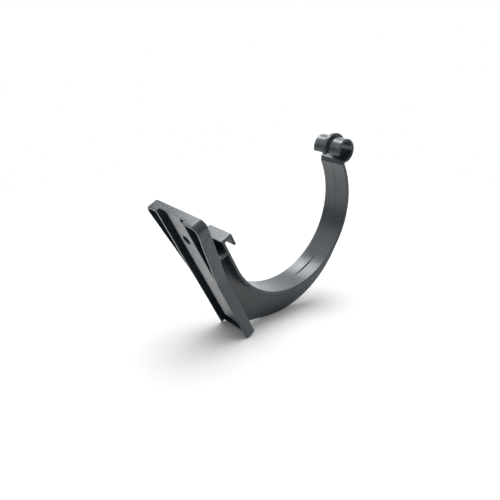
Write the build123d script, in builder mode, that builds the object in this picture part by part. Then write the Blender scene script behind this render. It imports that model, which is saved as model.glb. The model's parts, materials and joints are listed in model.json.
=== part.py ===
"""Gutter bracket: one moulding in rigid PVC that carries a half-round rain gutter on a fascia board.

Millimetres. +X points away from the fascia, +Y along the gutter and +Z up. The origin is on the axis of the
fixing screw, in the plate's front face where the screw's head bears. The bracket is symmetric about the XZ
plane.
"""

import os
from math import cos, radians, sin, sqrt, tan

from build123d import *

# Gutter: its outside radius, its gap to the plate, and its centre line below the screw
seat_radius = 62.5
gutter_gap = 13.6
gutter_drop = 41.3

# Fascia plate
plate_thickness = 8.8
plate_top = 24.5
plate_height = 121.5
foot_width = 33.8
ear_width = 64.0
ear_taper = 62.0
ear_radius = 5.5
waist_radius = 60.0
plate_round = 0.7

# Hollow back of the plate
skin_thickness = 2.5
wall_thickness = 1.5
spine_width = 15.0
spine_recess = 3.0
spine_foot = 12.0
screw_hole_diameter = 7.5

# Arm: a curved band on a central web
band_width = 25.0
band_thickness = 2.4
band_bevel = 0.4
web_thickness = 3.6
web_growth = 18.9
web_shift = 8.5
web_drop = 3.2
web_run_out = 34.5
web_bevel = 0.6

# Rear hook over the gutter's back edge, and the shelf that braces it
hook_height = 29.2
hook_gap = 5.6
hook_top = 2.6
lip_thickness = 2.0
lip_length = 10.5
shelf_height = 16.6
shelf_thickness = 2.4

# Front clip round the gutter's bead, with a rib round its middle
clip_offset = 6.5
clip_rise = 13.5
clip_radius = 9.6
clip_wall = 2.1
clip_width = 27.0
mouth_top_angle = 170.0
rib_height = 2.8
neck_radius = 3.0
ledge_drop = 7.3
ledge_bevel = 2.6

# Lens-shaped nick on the parting line, at the bottom of the seat
nick_length = 32.0
nick_depth = 1.1
nick_width = 1.5

# Places that follow from the sizes
gutter_x = gutter_gap + seat_radius
gutter_z = -gutter_drop
plate_bottom = plate_top - plate_height
root_x = -skin_thickness / 2
hollow_depth = plate_thickness - skin_thickness
plate_back = Plane.YZ.offset(-plate_thickness)
channel_width = foot_width - 2 * wall_thickness
hook_back = gutter_gap - band_thickness
hook_z = gutter_z + hook_height
hook_round = 0.4 * lip_thickness
core_radius = seat_radius + band_thickness / 2
web_x = gutter_x - web_shift
web_z = gutter_z - web_drop
web_radius = seat_radius + web_growth
front_x = gutter_x + seat_radius
clip_x = front_x + clip_offset
clip_z = gutter_z + clip_rise
bore_radius = clip_radius - clip_wall
rib_radius = clip_radius + rib_height
ledge_z = clip_z - ledge_drop
beyond = 4 * (seat_radius + gutter_gap)


def polar(x, z, radius, angle):
    """Point at a radius and an angle in degrees round (x, z)."""
    return (x + radius * cos(radians(angle)), z + radius * sin(radians(angle)))


def plate_outline():
    """Outline of the plate: a straight foot, ears that widen upwards, and rounded top corners."""
    foot = foot_width / 2
    ear = ear_width / 2
    waist = plate_top - ear_taper
    with BuildLine() as border:
        Polyline(
            (-foot, plate_bottom),
            (foot, plate_bottom),
            (foot, waist),
            (ear, plate_top),
            (-ear, plate_top),
            (-foot, waist),
            close=True,
        )
    outline = make_face(border.edges())
    waisted = fillet(outline.vertices().group_by(Axis.Y)[1], waist_radius)
    fillet(waisted.vertices().group_by(Axis.Y)[-1], ear_radius)


def open_mouth():
    """Cut the clip's open side: all that is under its upper lip and above the bevelled ledge."""
    reach = 2 * rib_radius
    upper = polar(clip_x, clip_z, reach, mouth_top_angle)
    with BuildLine() as wedge:
        Polyline(
            (clip_x, clip_z),
            upper,
            (clip_x - reach, gutter_z),
            (front_x, gutter_z),
            (front_x, ledge_z - ledge_bevel),
            (front_x + ledge_bevel, ledge_z),
            (clip_x, ledge_z),
            close=True,
        )
    make_face(wedge.edges(), mode=Mode.SUBTRACT)


# Fascia plate with its hollow back and its screw hole
with BuildPart() as plate:
    with BuildSketch(plate_back):
        plate_outline()
    extrude(amount=plate_thickness)
    fillet(plate.faces().filter_by(Axis.X).edges(), plate_round)

    # The channel between the two long walls is set back along its whole height
    with BuildSketch(plate_back):
        Rectangle(channel_width, beyond)
    extrude(amount=spine_recess, mode=Mode.SUBTRACT)

    # Deep grooves leave a low rim at both ends and a spine in the channel, which stops short of the foot
    with BuildSketch(plate_back):
        with Locations((0, plate_bottom + wall_thickness)):
            Rectangle(channel_width, plate_height - 2 * wall_thickness, align=(Align.CENTER, Align.MIN))
        with Locations((0, plate_bottom + spine_foot)):
            Rectangle(spine_width, beyond, align=(Align.CENTER, Align.MIN), mode=Mode.SUBTRACT)
    extrude(amount=hollow_depth, mode=Mode.SUBTRACT)

    # The ears are hollow outside the long walls
    with BuildSketch(plate_back):
        plate_outline()
        offset(amount=-wall_thickness, mode=Mode.REPLACE)
        Rectangle(foot_width, beyond, mode=Mode.SUBTRACT)
    extrude(amount=hollow_depth, mode=Mode.SUBTRACT)

    with Locations(Plane.YZ):
        Hole(screw_hole_diameter / 2)

# Central web: a crescent under the seat, run out straight to the plate, with the rib round the clip
run_x, run_z = polar(web_x, web_z, web_radius, -90 - web_run_out)
foot_z = run_z + (run_x - root_x) * tan(radians(web_run_out))

with BuildPart() as web:
    with BuildSketch(Plane.XZ) as web_profile:
        with Locations((web_x, web_z)):
            Circle(web_radius)
        with Locations((gutter_x, gutter_z)):
            Rectangle(beyond, beyond, align=(Align.MAX, Align.MIN), mode=Mode.SUBTRACT)
        with Locations((gutter_x, clip_z)):
            Rectangle(beyond, beyond, align=Align.MIN, mode=Mode.SUBTRACT)
        with BuildLine():
            Polyline((run_x, run_z), (root_x, foot_z), (root_x, gutter_z), (gutter_x, gutter_z), close=True)
        make_face()
        with Locations((root_x, gutter_z)):
            Rectangle(beyond, beyond, align=(Align.MAX, Align.CENTER), mode=Mode.SUBTRACT)
            Rectangle(gutter_gap - band_thickness / 2 - root_x, hook_height - hook_top / 2, align=Align.MIN)
        with Locations((gutter_x, gutter_z)):
            Circle(core_radius, mode=Mode.SUBTRACT)
        with Locations((clip_x, clip_z)):
            Circle(rib_radius)
        neck = web_profile.vertices().sort_by_distance((web_x + web_radius, clip_z - rib_radius))[0]
        fillet(neck, neck_radius)
        with Locations((clip_x, clip_z)):
            Circle(bore_radius, mode=Mode.SUBTRACT)
        open_mouth()
    extrude(amount=web_thickness / 2, both=True)
    outer_arcs = web.edges().filter_by(GeomType.CIRCLE).sort_by(SortBy.RADIUS)[-2:]
    brace_edges = web.edges().filter_by(Axis.X).filter_by_position(Axis.X, root_x, gutter_x)
    chamfer(outer_arcs + brace_edges, web_bevel)

# Band, rear hook and the ledge at the front: one strip that ends inside the clip's wall
with BuildPart() as strip:
    with BuildSketch(Plane.XZ) as strip_profile:
        with Locations((gutter_x, gutter_z)):
            Circle(seat_radius + band_thickness)
            Circle(seat_radius, mode=Mode.SUBTRACT)
            Rectangle(beyond, beyond, align=(Align.CENTER, Align.MIN), mode=Mode.SUBTRACT)
        with Locations((hook_back, gutter_z)):
            Rectangle(band_thickness, hook_height, align=Align.MIN)
        with Locations((hook_back, hook_z)):
            Rectangle(band_thickness + hook_gap + lip_thickness, hook_top, align=(Align.MIN, Align.MAX))
        with Locations((gutter_gap + hook_gap, hook_z)):
            Rectangle(lip_thickness, lip_length, align=(Align.MIN, Align.MAX))
        corners = strip_profile.vertices().filter_by_position(Axis.Y, gutter_z + lip_thickness, hook_z)
        fillet(corners, hook_round)
        with Locations((front_x, gutter_z)):
            Rectangle(band_thickness, clip_rise - clip_radius, align=Align.MIN)
        with Locations((clip_x, clip_z)):
            Rectangle(clip_offset, clip_radius, align=Align.MAX)
            Circle(clip_radius - clip_wall / 2, mode=Mode.SUBTRACT)
        open_mouth()
    extrude(amount=band_width / 2, both=True)
    chamfer(strip.faces().filter_by(Axis.Y).edges(), band_bevel)

    with BuildSketch(Plane.XZ):
        with Locations((root_x, gutter_z + shelf_height)):
            Rectangle(gutter_gap - band_thickness / 2 - root_x, shelf_thickness, align=Align.MIN)
    extrude(amount=band_width / 2 - band_bevel, both=True)

# Front clip: an open ring on the ledge, a little wider than the band
with BuildPart() as clip:
    with BuildSketch(Plane.XZ):
        with Locations((clip_x, clip_z)):
            Circle(clip_radius)
            Circle(bore_radius, mode=Mode.SUBTRACT)
        open_mouth()
    extrude(amount=clip_width / 2, both=True)
    chamfer(clip.faces().filter_by(Axis.Y).edges(), band_bevel)

# One solid, nicked by a thin wheel with a sharp rim
chord = nick_length / 2
wheel_sagitta = seat_radius - sqrt(seat_radius**2 - chord**2) + nick_depth
wheel_radius = (chord**2 + wheel_sagitta**2) / (2 * wheel_sagitta)
wheel_z = gutter_z - seat_radius - nick_depth + wheel_radius
rim_depth = 3 * nick_depth
rim_half_width = 1.5 * nick_width

with BuildPart() as bracket:
    add(plate.part)
    add(web.part)
    add(strip.part)
    add(clip.part)
    with BuildSketch(Plane.XY.offset(wheel_z)):
        with BuildLine():
            Polyline(
                (gutter_x + wheel_radius, 0),
                (gutter_x + wheel_radius - rim_depth, rim_half_width),
                (gutter_x + wheel_radius - rim_depth, -rim_half_width),
                close=True,
            )
        make_face()
    revolve(axis=Axis((gutter_x, 0, wheel_z), (0, 1, 0)), mode=Mode.SUBTRACT)

os.makedirs("parts", exist_ok=True)
bracket.part.label = "gutter_bracket"
export_step(bracket.part, "parts/gutter_bracket.step")
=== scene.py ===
"""Looks of the gutter bracket: a satin PVC moulding that leans back on a white table.

Lengths are in metres and the frame is the CAD part's own. The bracket is photographed as it was laid down,
resting on the foot of its plate and on the underside of its arm, so the table, the lamps and the camera are
turned about the gutter's direction (+Y) and the part itself stays where the CAD has it.
"""
import json
import logging
import math
from dataclasses import dataclass
from enum import Enum
from typing import Any

import bpy
import numpy as np
from mathutils import Matrix, Vector


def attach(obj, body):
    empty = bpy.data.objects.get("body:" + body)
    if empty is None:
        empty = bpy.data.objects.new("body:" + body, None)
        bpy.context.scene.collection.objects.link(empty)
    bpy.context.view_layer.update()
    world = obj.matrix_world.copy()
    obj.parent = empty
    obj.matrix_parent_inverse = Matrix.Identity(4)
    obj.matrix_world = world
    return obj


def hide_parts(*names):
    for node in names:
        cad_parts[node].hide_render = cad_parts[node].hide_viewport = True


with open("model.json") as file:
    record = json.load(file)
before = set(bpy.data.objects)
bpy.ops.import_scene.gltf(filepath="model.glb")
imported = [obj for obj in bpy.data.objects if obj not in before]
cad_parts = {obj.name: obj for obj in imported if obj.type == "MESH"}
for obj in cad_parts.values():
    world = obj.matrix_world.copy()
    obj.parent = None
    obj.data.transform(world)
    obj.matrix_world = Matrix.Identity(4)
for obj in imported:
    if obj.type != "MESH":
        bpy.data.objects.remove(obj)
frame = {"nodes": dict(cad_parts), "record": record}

LOG = logging.getLogger("gutter_bracket")
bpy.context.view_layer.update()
NODE = "gutter_bracket"
BODY = "root"
MM = 0.001
PHOTO_PIXELS = 500

# Sockets of a node that mixes two colours
MIX_FIRST = 6
MIX_SECOND = 7
MIX_RESULT = 2

Colour = tuple[float, float, float, float]


def linear(hex_colour: str) -> Colour:
    """Turn an sRGB hex colour into Blender's linear values, by the sRGB standard's curve.

    Args:
        hex_colour: six hex digits after a hash, such as "#54575a".

    Returns:
        Linear red, green and blue, and an alpha of 1.
    """
    srgb = np.array([int(hex_colour[i : i + 2], 16) for i in (1, 3, 5)]) / 255.0
    values = np.where(srgb <= 0.04045, srgb / 12.92, ((srgb + 0.055) / 1.055) ** 2.4)
    return (float(values[0]), float(values[1]), float(values[2]), 1.0)


def add_node(tree: bpy.types.NodeTree, kind: str, links: dict[Any, Any], **settings: Any) -> bpy.types.Node:
    """Add one node, set its properties and fill its inputs.

    Args:
        tree: node tree that gets the node.
        kind: Blender's name of the node type.
        links: input name or index to an output socket, or to a plain value.
        settings: node properties by name.

    Returns:
        The new node.
    """
    node = tree.nodes.new(kind)
    for name, value in settings.items():
        setattr(node, name, value)
    for key, value in links.items():
        if isinstance(value, bpy.types.NodeSocket):
            tree.links.new(value, node.inputs[key])
        else:
            node.inputs[key].default_value = value
    return node


@dataclass(frozen=True)
class Noise:
    """A cloudy pattern: the size of its clouds, its finer layers and how strongly they show."""

    size: float
    layers: float
    strength: float = 0.5

    def at(self, place: bpy.types.NodeSocket) -> dict[Any, Any]:
        """Inputs of a noise texture that shows the pattern at a place."""
        return {"Vector": place, "Scale": 1 / self.size, "Detail": self.layers, "Roughness": self.strength}


@dataclass(frozen=True)
class Ramp:
    """A straight ramp: base where a value is at low, top where it is at high, and level beyond both."""

    low: float = 0.0
    high: float = 1.0
    base: float = 0.0
    top: float = 1.0

    def over(self, value: bpy.types.NodeSocket) -> dict[Any, Any]:
        """Inputs of a map range that lays the ramp over a value."""
        span = {"From Min": self.low, "From Max": self.high, "To Min": self.base, "To Max": self.top}
        return {"Value": value, **span}


@dataclass(frozen=True)
class Seat:
    """The half-round seat for the gutter, as the frame gives it."""

    x: float
    z: float
    radius: float

    @classmethod
    def from_frame(cls, points: np.ndarray) -> "Seat":
        """Find the seat from the record's mount and the part's points.

        Args:
            points: the part's vertices, one row each.

        Returns:
            The seat's centre line, and its radius: how near to that line any point below it comes.
        """
        mounts = {m["name"]: m["pos_m"] for m in frame["record"]["mounts"]}
        x, _, z = mounts["gutter_seat"]
        below = points[points[:, 2] < z]
        radius = np.hypot(below[:, 0] - x, below[:, 2] - z).min()
        return cls(x, z, float(radius))


@dataclass(frozen=True)
class MouldedPvc:
    """Rigid PVC, dark grey and injection moulded.

    The mould's satin polish gives a soft gloss that pales at a low angle. The melt's flow leaves faint
    streaks along the arm and the plate, the resin is a little blotchy, and the edges are painted pale:
    partly wear from handling, partly a painted highlight where light catches them.
    """

    body: str = "#333f47"
    shade: str = "#2b373f"
    streak: str = "#49565e"
    seam: str = "#1a1e20"
    # Pale edge colour: partly rubbed wear, partly a painted highlight on the edges
    rubbed_and_highlit: str = "#6f7a81"
    scuff: str = "#5b676f"
    ior: float = 1.55

    # Blotches and grain shade the resin and vary its gloss; the grain is drawn coarse so that it shows
    blotches: Noise = Noise(15.0 * MM, layers=4.0, strength=0.6)
    grain: Noise = Noise(0.9 * MM, layers=2.0)
    shading: Ramp = Ramp(0.8, 1.2)
    roughness: Ramp = Ramp(0.75, 1.25, base=0.24, top=0.34)

    # Flow streaks: narrow along the gutter and long across it, so their noise has stretched units
    streak_width: float = 1.6 * MM
    streak_run: float = 70.0 * MM
    streaks: Noise = Noise(1.0, layers=3.0, strength=0.55)
    streaking: Ramp = Ramp(0.52, 0.78, top=0.75)

    # Relief: how high the streaks stand against the grain, how deep both are and how strongly it shows
    streak_relief: float = 1.5
    relief_depth: float = 0.2 * MM
    relief_strength: float = 0.5

    # Scuffs: fine marks that gather in patches
    scuffs: Noise = Noise(5.0 * MM, layers=9.0, strength=0.72)
    scuff_patches: Noise = Noise(25.0 * MM, layers=1.0)
    scuffing: Ramp = Ramp(0.33, 0.42, top=0.5)

    # Edges: how far in they are softened, and how pale they are painted by the cosine of the turn there;
    # the pale edge is partly rubbed wear and partly a painted highlight
    edge_reach: float = 0.5 * MM
    edge_samples: int = 6
    rubbing_and_highlight: Ramp = Ramp(0.985, 0.85, top=0.7)

    # Parting line, drawn about twice its real width so that it shows
    seam_width: float = 0.7 * MM
    seam_wander: float = 0.8 * MM
    seam_wave: Noise = Noise(22.0 * MM, layers=1.0)
    seam_end_angle: float = -42.0
    seam_fade: float = 0.5
    seam_strength: float = 0.8
    seat_tolerance: float = 0.3 * MM

    def build(self, seat: Seat) -> bpy.types.Material:
        """Make the material.

        Args:
            seat: the gutter's seat, which carries the parting line.

        Returns:
            The finished material.
        """
        material = bpy.data.materials.new("rigid_pvc_moulded")
        material.use_nodes = True
        tree = material.node_tree
        tree.nodes.clear()

        # Patterns
        place = add_node(tree, "ShaderNodeTexCoord", {}).outputs["Object"]
        blotches = add_node(tree, "ShaderNodeTexNoise", self.blotches.at(place)).outputs["Fac"]
        grain = add_node(tree, "ShaderNodeTexNoise", self.grain.at(place)).outputs["Fac"]
        mottle = add_node(tree, "ShaderNodeMath", {0: blotches, 1: grain}, operation="ADD").outputs["Value"]
        stretch = (1 / self.streak_run, 1 / self.streak_width, 1 / self.streak_run)
        flow = add_node(tree, "ShaderNodeMapping", {"Vector": place, "Scale": stretch}).outputs["Vector"]
        streaks = add_node(tree, "ShaderNodeTexNoise", self.streaks.at(flow)).outputs["Fac"]

        # Colours, each laid over those before it by its own strength
        shaded = add_node(tree, "ShaderNodeMapRange", self.shading.over(mottle)).outputs["Result"]
        streaked = add_node(tree, "ShaderNodeMapRange", self.streaking.over(streaks)).outputs["Result"]
        scuffed = self._scuffs(tree, place)
        rounded, rubbed_and_highlit = self._edges(tree, grain)
        colour: Any = linear(self.shade)
        for strength, cover in (
            (shaded, self.body),
            (streaked, self.streak),
            (scuffed, self.scuff),
            # Pale edges: partly rubbed wear, partly a painted highlight
            (rubbed_and_highlit, self.rubbed_and_highlit),
        ):
            mixed = add_node(
                tree,
                "ShaderNodeMix",
                {"Factor": strength, MIX_FIRST: colour, MIX_SECOND: linear(cover)},
                data_type="RGBA",
            )
            colour = mixed.outputs[MIX_RESULT]

        # Gloss and relief
        gloss = add_node(tree, "ShaderNodeMapRange", self.roughness.over(mottle)).outputs["Result"]
        relief = add_node(
            tree,
            "ShaderNodeMath",
            {0: streaks, 1: self.streak_relief, 2: grain},
            operation="MULTIPLY_ADD",
        ).outputs["Value"]
        normal = add_node(
            tree,
            "ShaderNodeBump",
            {
                "Strength": self.relief_strength,
                "Distance": self.relief_depth,
                "Height": relief,
                "Normal": rounded,
            },
        ).outputs["Normal"]

        # The satin plastic, with the dull parting line over it
        plastic = add_node(
            tree,
            "ShaderNodeBsdfPrincipled",
            {"Base Color": colour, "Roughness": gloss, "IOR": self.ior, "Normal": normal},
        ).outputs["BSDF"]
        dull = add_node(tree, "ShaderNodeBsdfDiffuse", {"Color": linear(self.seam)}).outputs["BSDF"]
        parting = self._parting_line(tree, place, seat)
        surface = add_node(tree, "ShaderNodeMixShader", {0: parting, 1: plastic, 2: dull}).outputs["Shader"]
        add_node(tree, "ShaderNodeOutputMaterial", {"Surface": surface})
        return material

    def _scuffs(self, tree: bpy.types.NodeTree, place: bpy.types.NodeSocket) -> bpy.types.NodeSocket:
        """Sparse pale scuffs: fine noise kept where a coarse noise is high.

        Args:
            tree: the material's node tree.
            place: object coordinates.

        Returns:
            Strength of the scuffs.
        """
        fine = add_node(tree, "ShaderNodeTexNoise", self.scuffs.at(place)).outputs["Fac"]
        coarse = add_node(tree, "ShaderNodeTexNoise", self.scuff_patches.at(place)).outputs["Fac"]
        both = add_node(tree, "ShaderNodeMath", {0: fine, 1: coarse}, operation="MULTIPLY").outputs["Value"]
        return add_node(tree, "ShaderNodeMapRange", self.scuffing.over(both)).outputs["Result"]

    def _edges(
        self, tree: bpy.types.NodeTree, grain: bpy.types.NodeSocket
    ) -> tuple[bpy.types.NodeSocket, bpy.types.NodeSocket]:
        """Soften the edges and find where they are painted pale, partly as rubbed wear, partly as a painted
        highlight.

        Args:
            tree: the material's node tree.
            grain: fine noise that breaks up the pale edge line.

        Returns:
            The softened normal, and how pale each place is painted, partly as rubbed wear and partly as a
            painted highlight; this grows as the cosine between that normal and the face's own falls and is
            broken up by the grain.
        """
        rounded = add_node(
            tree,
            "ShaderNodeBevel",
            {"Radius": self.edge_reach},
            samples=self.edge_samples,
        ).outputs["Normal"]
        own = add_node(tree, "ShaderNodeNewGeometry", {}).outputs["Normal"]
        agreement = add_node(
            tree,
            "ShaderNodeVectorMath",
            {0: rounded, 1: own},
            operation="DOT_PRODUCT",
        ).outputs["Value"]
        turned = add_node(tree, "ShaderNodeMapRange", self.rubbing_and_highlight.over(agreement)).outputs["Result"]
        # Pale edge mask: partly rubbed wear, partly a painted highlight
        rubbed_and_highlit = add_node(tree, "ShaderNodeMath", {0: turned, 1: grain}, operation="MULTIPLY")
        return rounded, rubbed_and_highlit.outputs["Value"]

    def _parting_line(
        self, tree: bpy.types.NodeTree, place: bpy.types.NodeSocket, seat: Seat
    ) -> bpy.types.NodeSocket:
        """The mould's parting line along the middle of the seat, from the clip down towards the nick.

        The line is where the place is on the seat's cylinder, in front of its centre, above the line's
        lower end and within half a width of a wavy middle. It is whole down to a share, seam_fade, of
        that end's depth and fades out below.

        Args:
            tree: the material's node tree.
            place: object coordinates.
            seat: the gutter's seat.

        Returns:
            Strength of the line.
        """
        from_seat = add_node(
            tree,
            "ShaderNodeVectorMath",
            {0: place, 1: (seat.x, 0.0, seat.z)},
            operation="SUBTRACT",
        ).outputs["Vector"]
        axes = add_node(tree, "ShaderNodeSeparateXYZ", {"Vector": from_seat}).outputs
        spoke = add_node(tree, "ShaderNodeCombineXYZ", {"X": axes["X"], "Y": axes["Z"]}).outputs["Vector"]
        reach = add_node(tree, "ShaderNodeVectorMath", {0: spoke}, operation="LENGTH").outputs["Value"]
        on_seat = add_node(
            tree,
            "ShaderNodeMath",
            {0: reach, 1: seat.radius, 2: self.seat_tolerance},
            operation="COMPARE",
        )
        in_front = add_node(tree, "ShaderNodeMath", {0: axes["X"], 1: 0.0}, operation="GREATER_THAN")

        lower_end = seat.radius * math.sin(math.radians(self.seam_end_angle))
        fade = Ramp(lower_end, lower_end * self.seam_fade, top=self.seam_strength)
        faded = add_node(tree, "ShaderNodeMapRange", fade.over(axes["Z"]))

        wave = add_node(tree, "ShaderNodeTexNoise", self.seam_wave.at(place)).outputs["Fac"]
        swing = Ramp(base=-self.seam_wander, top=self.seam_wander)
        middle = add_node(tree, "ShaderNodeMapRange", swing.over(wave)).outputs["Result"]
        aside = add_node(tree, "ShaderNodeMath", {0: axes["Y"], 1: middle}, operation="SUBTRACT")
        offset = add_node(tree, "ShaderNodeMath", {0: aside.outputs["Value"]}, operation="ABSOLUTE")
        flank = Ramp(self.seam_width / 2, self.seam_width / 4)
        line = add_node(tree, "ShaderNodeMapRange", flank.over(offset.outputs["Value"]))

        strength = line.outputs["Result"]
        for gate in (on_seat.outputs["Value"], faded.outputs["Result"], in_front.outputs["Value"]):
            product = add_node(tree, "ShaderNodeMath", {0: strength, 1: gate}, operation="MULTIPLY")
            strength = product.outputs["Value"]
        return strength


@dataclass(frozen=True)
class TableTop:
    """White laminate table: plain and matt, bright enough to look white all round the shadow.

    Its bounce is held low. Gloss mirrors it brighter towards the lamps behind (+Y) than near the camera.
    """

    bounce: float = 0.3
    seen: float = 1.22
    mirrored_near: float = 1.3
    mirrored_far: float = 1.75
    slope: float = 60.0 * MM
    reach: float = 500.0 * MM

    def build(self) -> bpy.types.Material:
        """Make the table's material, whose shade depends on the kind of ray that meets it.

        Returns:
            The finished material.
        """
        material = bpy.data.materials.new("white_laminate")
        material.use_nodes = True
        tree = material.node_tree
        tree.nodes.clear()
        path = add_node(tree, "ShaderNodeLightPath", {}).outputs
        plain = Ramp(base=self.bounce, top=self.seen)
        shade = add_node(tree, "ShaderNodeMapRange", plain.over(path["Is Camera Ray"])).outputs["Result"]
        place = add_node(tree, "ShaderNodeTexCoord", {}).outputs["Object"]
        axes = add_node(tree, "ShaderNodeSeparateXYZ", {"Vector": place}).outputs
        extra = Ramp(
            -self.slope,
            self.slope,
            base=self.mirrored_near - self.bounce,
            top=self.mirrored_far - self.bounce,
        )
        mirrored = add_node(tree, "ShaderNodeMapRange", extra.over(axes["Y"])).outputs["Result"]
        shade = add_node(
            tree,
            "ShaderNodeMath",
            {0: path["Is Glossy Ray"], 1: mirrored, 2: shade},
            operation="MULTIPLY_ADD",
        ).outputs["Value"]
        matt = add_node(tree, "ShaderNodeBsdfDiffuse", {"Color": shade}).outputs["BSDF"]
        add_node(tree, "ShaderNodeOutputMaterial", {"Surface": matt})
        return material


@dataclass
class Bracket:
    """The moulding: the CAD solid's surface, welded and shaded smoothly up to its creases (in degrees)."""

    crease: float = 30.0
    weld: float = 0.001 * MM

    def __post_init__(self) -> None:
        """Read the CAD node's points and find the gutter's seat."""
        mesh = frame["nodes"][NODE].data
        points = np.empty(len(mesh.vertices) * 3, dtype=np.float32)
        mesh.vertices.foreach_get("co", points)
        self.points = points.reshape(-1, 3).astype(float)
        self.seat = Seat.from_frame(self.points)

    def build(self, finish: MouldedPvc) -> bpy.types.Object:
        """Make the visible moulding and let it stand for the CAD node.

        The points are welded by rounding them to a fine grid, so that curved faces shade smoothly up to
        each crease.

        Args:
            finish: the moulding's finish.

        Returns:
            The visible moulding.
        """
        source = frame["nodes"][NODE].data
        corners = np.empty(len(source.loops), dtype=np.int32)
        source.loops.foreach_get("vertex_index", corners)
        cells = np.round(self.points / self.weld).astype(np.int64)
        _, first, place = np.unique(cells, axis=0, return_index=True, return_inverse=True)
        triangles = place.reshape(-1)[corners].reshape(-1, 3)
        a, b, c = triangles.T
        triangles = triangles[(a != b) & (b != c) & (c != a)]
        mesh = bpy.data.meshes.new("pvc_moulding")
        mesh.from_pydata(self.points[first].tolist(), [], triangles.tolist())
        mesh.validate()
        mesh.shade_smooth()
        mesh.set_sharp_from_angle(angle=math.radians(self.crease))
        mesh.materials.append(finish.build(self.seat))
        moulding = bpy.data.objects.new("pvc_moulding", mesh)
        bpy.context.scene.collection.objects.link(moulding)
        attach(moulding, BODY)
        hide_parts(NODE)
        return moulding


class Perch(Enum):
    """Where a lamp hangs, in degrees round and above the table: 0 round is towards -Y, and 90 is ahead."""

    BEHIND = (172.0, 52.5)
    ABOVE = (174.0, 66.0)
    AHEAD = (60.0, 74.0)
    RIGHT = (126.0, 23.0)
    LEFT = (-139.0, 33.0)


class Rays(Enum):
    """What a lamp is for: whether matt surfaces catch it, whether gloss mirrors it, and its tint."""

    SHEEN = (False, True, "#f8fbff")
    WASH = (True, False, "#ffffff")


@dataclass(frozen=True)
class Softbox:
    """A far soft lamp, so that the whole table is lit alike; its spread is the angle it fills."""

    name: str
    perch: Perch
    spread: float
    strength: float
    rays: Rays


LAMPS = (
    Softbox("back_softbox", Perch.BEHIND, spread=22.0, strength=1.45, rays=Rays.SHEEN),
    Softbox("top_softbox", Perch.ABOVE, spread=72.0, strength=0.465, rays=Rays.SHEEN),
    Softbox("right_window", Perch.RIGHT, spread=54.0, strength=0.775, rays=Rays.SHEEN),
    Softbox("left_card", Perch.LEFT, spread=36.0, strength=0.37, rays=Rays.SHEEN),
    Softbox("back_wash", Perch.ABOVE, spread=72.0, strength=1.375, rays=Rays.WASH),
    Softbox("front_wash", Perch.AHEAD, spread=60.0, strength=1.19, rays=Rays.WASH),
)


@dataclass(frozen=True)
class WhiteRoom:
    """The pale room all round: how strongly it lights matt surfaces, and how bright gloss mirrors it."""

    tint: str = "#ffffff"
    ambient: float = 0.19
    mirrored: float = 0.55


@dataclass(frozen=True)
class Viewpoint:
    """The photograph's camera, given about the leaning table."""

    azimuth: float = -40.23
    elevation: float = 23.5
    distance: float = 435.0 * MM
    aim: tuple[float, float, float] = (38.1 * MM, 8.7 * MM, -53.0 * MM)
    focal_pixels: float = 550.0
    centre_pixel: float = 248.0


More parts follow.
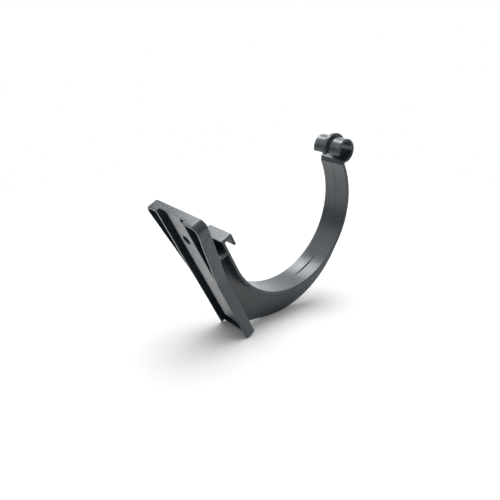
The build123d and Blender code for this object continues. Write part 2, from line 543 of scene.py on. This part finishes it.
@dataclass
class Studio:
    """Table, lamps, room and camera round the part's points, all turned by its lean (in degrees)."""

    points: np.ndarray
    lean: float = 26.44

    def __post_init__(self) -> None:
        """Find the part's middle and the table's height: the lowest point along the table's normal."""
        self.turn = Matrix.Rotation(math.radians(self.lean), 3, "Y")
        self.up = self.turn @ Vector((0.0, 0.0, 1.0))
        self.level = float((self.points @ np.array(self.up)).min())
        self.middle = Vector(((self.points.max(axis=0) + self.points.min(axis=0)) / 2).tolist())

    def direction(self, azimuth: float, elevation: float) -> Vector:
        """Unit vector towards a compass place above the leaning table.

        Args:
            azimuth: degrees; 0 is towards -Y and 90 is straight ahead of the bracket.
            elevation: degrees above the table.

        Returns:
            The direction in the part's axes.
        """
        a = math.radians(azimuth)
        e = math.radians(elevation)
        flat = Vector((math.sin(a) * math.cos(e), -math.cos(a) * math.cos(e), math.sin(e)))
        return self.turn @ flat

    def facing(self, back: Vector) -> Matrix:
        """Rotation of a lamp or camera whose back points along a direction, level with the table.

        Args:
            back: unit vector from the thing looked at to the lamp or camera.

        Returns:
            The rotation: its Z is back, its X is level with the table and its Y completes them.
        """
        right = self.up.cross(back).normalized()
        top = back.cross(right)
        return Matrix((right, top, back)).transposed().to_4x4()

    def lay_table(self, finish: TableTop) -> None:
        """Lay the table under the bracket's lowest points.

        Args:
            finish: the table's finish and reach.
        """
        signs = np.array([(-1, -1, 0), (1, -1, 0), (1, 1, 0), (-1, 1, 0)], dtype=float)
        foot = self.middle - self.up * (self.middle.dot(self.up) - self.level)
        corners = signs * finish.reach @ np.array(self.turn).T + np.array(foot)
        mesh = bpy.data.meshes.new("table")
        mesh.from_pydata(corners.tolist(), [], [(0, 1, 2, 3)])
        mesh.materials.append(finish.build())
        table = bpy.data.objects.new("table", mesh)
        bpy.context.scene.collection.objects.link(table)

    def hang(self, box: Softbox) -> None:
        """Hang one soft lamp.

        Args:
            box: the lamp's place, spread, strength and rays.
        """
        on_matt, in_gloss, tint = box.rays.value
        data = bpy.data.lights.new(box.name, "SUN")
        data.angle = math.radians(box.spread)
        data.energy = box.strength
        data.color = linear(tint)[:3]
        lamp = bpy.data.objects.new(box.name, data)
        back = self.direction(*box.perch.value)
        lamp.matrix_world = Matrix.Translation(self.middle + back) @ self.facing(back)
        lamp.visible_diffuse = on_matt
        lamp.visible_glossy = in_gloss
        bpy.context.scene.collection.objects.link(lamp)

    def surround(self, room: WhiteRoom) -> None:
        """Surround the scene with white that lights it softly and that the camera sees as white.

        Args:
            room: the room's tint and strengths.
        """
        world = bpy.data.worlds.new("white_room")
        bpy.context.scene.world = world
        world.use_nodes = True
        tree = world.node_tree
        tree.nodes.clear()
        path = add_node(tree, "ShaderNodeLightPath", {}).outputs
        glow = Ramp(base=room.ambient, top=room.mirrored)
        lit = add_node(tree, "ShaderNodeMapRange", glow.over(path["Is Glossy Ray"])).outputs["Result"]
        strength = add_node(
            tree,
            "ShaderNodeMath",
            {0: path["Is Camera Ray"], 1: lit},
            operation="MAXIMUM",
        ).outputs["Value"]
        walls = add_node(tree, "ShaderNodeBackground", {"Color": linear(room.tint), "Strength": strength})
        add_node(tree, "ShaderNodeOutputWorld", {"Surface": walls.outputs["Background"]})

    def point_camera(self, view: Viewpoint) -> None:
        """Put the camera where the photograph was taken from.

        Args:
            view: the camera's place and lens.
        """
        data = bpy.data.cameras.new("photo_camera")
        data.lens = data.sensor_width * view.focal_pixels / PHOTO_PIXELS
        data.shift_x = (PHOTO_PIXELS / 2 - view.centre_pixel) / PHOTO_PIXELS
        camera = bpy.data.objects.new("photo_camera", data)
        back = self.direction(view.azimuth, view.elevation)
        place = Vector(view.aim) + back * view.distance
        camera.matrix_world = Matrix.Translation(place) @ self.facing(back)
        bpy.context.scene.collection.objects.link(camera)
        bpy.context.scene.camera = camera


def main() -> None:
    """Dress the bracket, light it and point the camera."""
    logging.basicConfig(level=logging.INFO, format="%(name)s: %(message)s")
    bracket = Bracket()
    moulding = bracket.build(MouldedPvc())
    LOG.info("%s: %d triangles", moulding.name, len(moulding.data.polygons))
    LOG.info("seat: radius %.1f mm", bracket.seat.radius / MM)
    studio = Studio(bracket.points)
    studio.lay_table(TableTop())
    for box in LAMPS:
        studio.hang(box)
        LOG.info("%s: %.2f W/m2", box.name, box.strength)
    studio.surround(WhiteRoom())
    studio.point_camera(Viewpoint())
    bpy.context.scene.view_settings.view_transform = "Standard"


if __name__ == "__main__":
    main()
